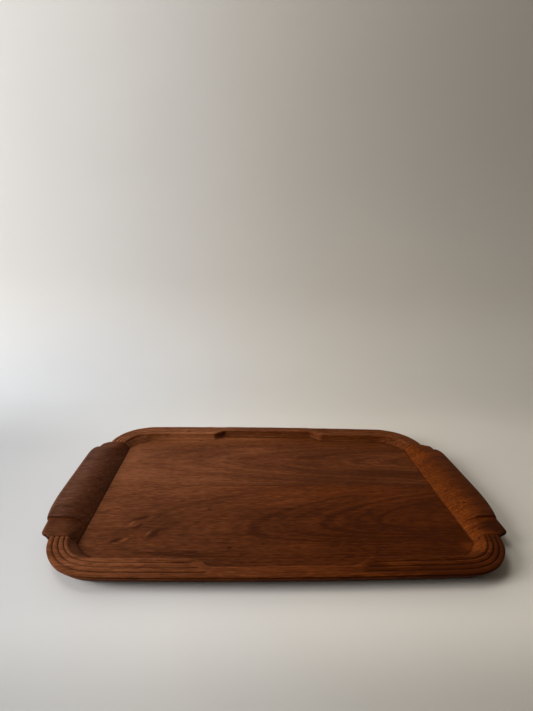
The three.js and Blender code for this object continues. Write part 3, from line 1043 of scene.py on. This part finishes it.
    def _marks(self, course: Course, run: Array, z: Array, under: float) -> dict[str, Array]:
        """Give where shade is painted, and where the block gets wear and painted light.

        Painted shade lies along the steps, at the foot and on the ends' faces. Wear and painted light cover
        the
        outer part of the grip: a painted sheen on the left handle, painted shade on the right one.

        Args:
            course: the values at every station.
            run: each place's distance from the joint with the boards.
            z: each place's height.
            under: the height of the grip's underside.

        Returns:
            The two marks.
        """
        away, top = course.away, course.top
        # Painted shade along the step.
        at_step = np.clip(1 - np.abs(away - course.length - self.step) / self.step_shade_half, 0, 1)
        at_step = at_step * smooth(*self.step_shade_run, run)
        rise, lead = self.step_shade_rise
        raised = np.clip((z - self.rim.height) / rise + lead, 0, 1)
        # Painted shade at the foot of the block.
        foot = np.clip(1 - (z - self.rim.floor) / self.foot_painted_shade_height, 0, 1) * (z >= self.rim.floor)
        # Painted shade on the ends' faces.
        near, full = self.face_shade_reach
        face = smooth(self.half - near, self.half - full, away) * smooth(*self.face_shade_drop, top - z)
        face = face * (z > under - self.margin)
        dirt_and_shade = np.maximum(at_step * raised * self.step_painted_shade, foot * self.foot_painted_shade)
        dirt_and_shade = np.maximum(dirt_and_shade, face * self.face_painted_shade)
        # Wear with painted light on the outer grip, less at the back and on the ends.
        grip_run, edge_margin = self.wear_and_light_run
        outer_run = course.reach - self.rim.joint_x - JOINT_GAP - edge_margin
        outer = smooth(grip_run, outer_run, run) * smooth(under, top - self.margin, z)
        grip_wear_and_light = lerp(1, self.back_wear_and_light, smooth(*self.back_wear_and_light_from, course.y))
        grip_wear_and_light = grip_wear_and_light * (1 - self.end_wear_and_light_loss * course.on_end)
        return {"hollow": dirt_and_shade, "worn_and_painted_light": outer * grip_wear_and_light}


@dataclass
class HiddenJoints:
    """The dowels and the loose tongue, which keep their solids."""

    finish: PlainWood

    def build(self) -> int:
        """Dress every hidden node.

        Returns:
            How many there are.
        """
        material = self.finish.build()
        hidden = [node for name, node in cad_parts.items() if "dowel" in name or "tongue" in name]
        for node in hidden:
            node.data.materials.clear()
            node.data.materials.append(material)
        return len(hidden)


# Studio and camera


def aimed(place: Triple, forward: Array, roll: float = 0.0) -> Matrix:
    """Give the place and turn of a camera or lamp.

    Args:
        place: where it stands.
        forward: where it looks, of length 1.
        roll: how far it is turned about its view, in radians.

    Returns:
        Its matrix.
    """
    right = np.cross(forward, (0, 0, 1))
    right = right / np.linalg.norm(right)
    up = np.cross(right, forward)
    tilted = right * math.cos(roll) + up * math.sin(roll)
    upright = up * math.cos(roll) - right * math.sin(roll)
    matrix = np.identity(4)
    matrix[:3, :4] = np.stack([tilted, upright, -forward, np.array(place)], axis=1)
    return Matrix(matrix.tolist())


@dataclass(frozen=True)
class Window:
    """A square soft light: its name, place, side in metres, power in watts and colour."""

    name: str
    place: Triple
    size: float
    power: float
    color: Triple

    def build(self, target: Triple) -> None:
        """Hang the light so that it looks at a target."""
        lamp = bpy.data.lights.new(self.name, "AREA")
        lamp.shape = "SQUARE"
        lamp.size = self.size
        lamp.energy = self.power
        lamp.color = self.color
        view = np.array(target) - np.array(self.place)
        in_scene(self.name, lamp).matrix_world = aimed(self.place, view / np.linalg.norm(view))


@dataclass
class Studio:
    """A pale seamless sweep with soft light from a large window on the left."""

    sweep_depth: float = 0.50
    sweep_front: float = 2.2
    sweep_width: float = 3.0
    sweep_height: float = 2.2
    bend: float = 0.22
    bend_places: int = 40
    target: Triple = (0.05, 0.1, 0.05)
    air: Triple = (1.0, 0.87, 0.72)
    air_strength: float = 0.08
    windows: tuple[Window, ...] = (
        Window("window_high", (-1.60, -0.55, 0.95), 0.75, 21, (1, 0.98, 0.97)),
        Window("window_low", (-1.85, -0.35, 0.45), 0.50, 14, (1, 0.99, 1)),
        Window("window_top", (-0.60, -0.05, 1.60), 0.70, 5.5, (1, 0.96, 0.92)),
    )

    def build(self) -> None:
        """Make the sweep, the lights and the air."""
        self._sweep()
        for window in self.windows:
            window.build(self.target)
        world = bpy.data.worlds.new("air")
        world.use_nodes = True
        background = world.node_tree.nodes["Background"]
        background.inputs["Color"].default_value = (*self.air, 1)
        background.inputs["Strength"].default_value = self.air_strength
        bpy.context.scene.world = world

    def _sweep(self) -> None:
        """Make the floor that bends up into the backdrop, as a quarter circle carried along X."""
        angle = np.linspace(0, math.pi / 2, self.bend_places)
        run = self.sweep_depth - self.bend + self.bend * np.sin(angle)
        run = np.concatenate([[-self.sweep_front], run, [self.sweep_depth]])
        rise = np.concatenate([[0], self.bend * (1 - np.cos(angle)), [self.sweep_height]])
        across = np.linspace(-self.sweep_width, self.sweep_width, 3)[:, None]
        places = np.stack([across + 0 * run, run + 0 * across, rise + 0 * across], axis=-1)
        index = np.arange(places[..., 0].size).reshape(places.shape[:2])
        quads = np.stack([index[:-1, :-1], index[1:, :-1], index[1:, 1:], index[:-1, 1:]], axis=-1)
        mesh = bpy.data.meshes.new("sweep")
        mesh.from_pydata(places.reshape(-1, 3).tolist(), [], quads.reshape(-1, 4).tolist())
        mesh.shade_smooth()
        mesh.materials.append(self._paper())
        sweep = in_scene("sweep", mesh)

    @staticmethod
    def _paper() -> bpy.types.Material:
        """Make the paper, pale with a faint mottle.

        Painted shade dims it and a painted light tint colours it, as in the photograph: darker at the left,
        behind the tray and in front of it, and towards the top right of the upright part, and warmer at the
        right.

        Returns:
            The material.
        """
        graph = Graph("paper")
        x, y, z = graph.object_axes()
        mottle = graph.grain((x, y, z), 3, 3, 3)
        color = graph.ramp(mottle, [(0.3, (0.86, 0.85, 0.83)), (0.7, (0.90, 0.89, 0.87))])
        wall = z.rise(-0.02, 0.20)
        level = (1 - x.rise(-0.48, -0.05)) * (0.58 - y.rise(0.10, 0.38) * 0.50)
        level = level + (-y).rise(0.18, 0.27) * (x.rise(-0.20, 0.15) * 0.20 + 0.32)
        level = level + y.rise(0.18, 0.40) * 0.22
        upright = x.rise(-0.40, 0.40) * z.rise(0.05, 0.65) * 0.20 + z.rise(0.10, 0.50) * 0.06 + 0.31
        painted_shade = level * (1 - wall) + upright * wall
        # Painted shade: the paper is darkened towards this grey.
        color = graph.blend(painted_shade, color, (0.24, 0.235, 0.225))
        # Painted light: cooler at the left, warmer at the right.
        to_right = x.rise(-0.45, 0.25)
        floor_light_tint = graph.blend(to_right, (0.95, 1, 1.07), (1, 0.96, 0.88))
        wall_light_tint = graph.blend(to_right, (1, 1, 0.99), (1, 0.95, 0.87))
        color = graph.blend(1, color, graph.blend(wall, floor_light_tint, wall_light_tint), "MULTIPLY")
        return graph.surface({"Base Color": color, "Roughness": 0.8})


@dataclass
class PhotoCamera:
    """The camera of the photograph, found from the tray's outline in it."""

    place: Triple = (-0.0450, -0.4814, 0.3118)
    yaw: float = 0.06075
    pitch: float = 0.26338
    roll: float = 0.03732
    focal_pixels: float = 430.0
    sensor: float = 36.0
    nearest: float = 0.01

    def build(self) -> None:
        """Make the camera and look through it."""
        lens = bpy.data.cameras.new("photo_camera")
        lens.sensor_width = self.sensor
        lens.lens = self.focal_pixels * self.sensor / max(PHOTO_SIZE)
        lens.clip_start = self.nearest
        camera = in_scene("photo_camera", lens)
        level = math.cos(self.pitch)
        forward = np.array([math.sin(self.yaw) * level, math.cos(self.yaw) * level, -math.sin(self.pitch)])
        camera.matrix_world = aimed(self.place, forward, self.roll)
        bpy.context.scene.camera = camera


# The finishes of this tray


def table(kind: Callable[..., Any], *rows: Sequence[float]) -> tuple[Any, ...]:
    """Make one thing of a kind from every row of numbers."""
    return tuple(kind(*row) for row in rows)


FRONT_WOOD = CarvedWood(
    "front_wood",
    Figure(
        axis_y=-80,
        axis_slope=0.10,
        near_stretch=1.75,
        knots=table(
            Spot,
            (-152, -66, 17, 9, 9, 25), (-136, -88, 13, 8, -8, -20), (-166, -97, 13, 7, 7, 15),
        ),
    ),
    fade=0.20,
    rings=table(
        Ring,
        (72, 1.6, 0.12), (67, 0.7, 0.05), (56, 1, 0.09), (51.5, 0.6, 0.05), (43.5, 0.9, 0.08),
        (84, 0.9, 0.06),
    ),
    # Among the stains, (205, -114) is painted light on the right front corner's inner wall.
    stains_and_painted_light=table(
        Spot,
        (-128, -80, 24, 20, 0.14), (-153, -62, 9, 2.2, 0.40, 22), (-133, -88, 7, 2.4, 0.40, 60),
        (-152, -76, 5, 2, 0.30, 50), (-170, -98, 7, 2.6, 0.36, 30), (-100, -120, 26, 8, 0.12, -8),
        (-60, 2, 150, 34, -0.12), (-200, -30, 30, 90, -0.04), (-165, -140, 46, 12, -0.14),
        (205, -114, 12, 12, -0.32), (86, -146, 8, 5, 0.30), (150, -150, 50, 14, 0.10),
        (120, 0, 120, 26, -0.12), (226, -132, 16, 34, 0.20),
    ),
    dents=table(
        Spot,
        (-160, -71, 5, 1.9, 2.6, 55), (-139, -87, 4.6, 1.2, 2.4, 65), (-161, -97, 4.4, 1.8, 2.4, 40),
    ),
    pits=table(
        Spot,
        (-53, -110, 2.3, 1.5, 0, 20), (-78, -45, 2.2, 1.1), (98, -117, 1.8, 0.9), (-107, 2.5, 0.9, 0.6),
    ),
)
BACK_WOOD = CarvedWood(
    "back_wood",
    Figure(axis_y=68, dip=0.12),
    dark=(0.070, 0.0170, 0.0034),
    middle=(0.164, 0.0480, 0.0140),
    light=(0.295, 0.0960, 0.0310),
    fade=0.10,
    warmth=0.55,
    rings=table(
        Ring,
        (37.8, 2.2, 0.15), (33, 0.7, 0.08), (28, 0.8, 0.12), (22, 0.6, 0.08), (47, 0.8, 0.08),
    ),
    # Among the stains, (-118, 134) is painted light on the back wall at the left.
    stains_and_painted_light=table(
        Spot,
        (150, 34, 70, 5, 0.14, -2), (35, 47, 40, 4, 0.13, -10), (-120, 104, 40, 12, 0.10),
        (-20, 96, 26, 8, -0.10), (-200, 70, 34, 90, -0.10), (-118, 134, 44, 7, -0.26),
        (-34, 137, 40, 7, -0.20), (120, 8, 120, 24, 0.12),
    ),
    pits=(Spot(-104, 129, 2, 1.2), Spot(-75, 80, 1, 0.7)),
)
LEFT_WOOD = CarvedWood(
    "left_handle_wood",
    Figure(axis_y=-190, axis_slope=-0.10, dip=0.5, sway=16),
    dark=(0.042, 0.0085, 0.0012),
    middle=(0.086, 0.0205, 0.0038),
    light=(0.140, 0.0400, 0.0100),
    # Painted sheen: where the grip is worn it turns lighter and bluer.
    rubbed_and_painted_light=(1.18, 1.65, 3.40),
    streaking=1.4,
)
RIGHT_WOOD = CarvedWood(
    "right_handle_wood",
    Figure(axis_y=-190, axis_slope=0.08, dip=0.5, sway=9),
    dark=(0.046, 0.0100, 0.0018),
    middle=(0.118, 0.0310, 0.0070),
    light=(0.220, 0.0660, 0.0180),
    # Painted shade: where the grip is worn it turns darker.
    rubbed_and_painted_light=(0.51, 0.47, 0.40),
    streaking=1.2,
    # The second stain is painted light on the inner wall near the front.
    stains_and_painted_light=(Spot(238, -92, 20, 14, 0.30), Spot(207, -86, 6, 12, -0.14)),
    pits=(Spot(223, -46, 1.3, 1.8),),
)


def main() -> None:
    """Build the tray, the studio and the camera."""
    logging.basicConfig(level=logging.INFO, format="%(name)s: %(message)s")
    rim = RimShape()
    left_front, right_front = GripEnd(74, 5.4, 3.6, 7), GripEnd(74, 7.2, 3.2, 7)
    pieces = (
        CarvedBoard(Half.FRONT, rim, FRONT_WOOD, right_ogee_length=32),
        CarvedBoard(Half.BACK, rim, BACK_WOOD),
        HandleBlock(End.LEFT, rim, LEFT_WOOD, overhang=0.3, end_tip_overhang=10.4, front=left_front),
        HandleBlock(End.RIGHT, rim, RIGHT_WOOD, overhang=1.4, back_wear_and_light=0.45, front=right_front),
    )
    for piece in pieces:
        made = piece.build()
        LOG.info("%s: %d faces", made.name, len(made.data.polygons))
    LOG.info("hidden joint pieces dressed: %d", HiddenJoints(PlainWood("dowel_wood")).build())
    Studio().build()
    PhotoCamera().build()
    bpy.context.scene.view_settings.view_transform = "Standard"


if __name__ == "__main__":
    main()
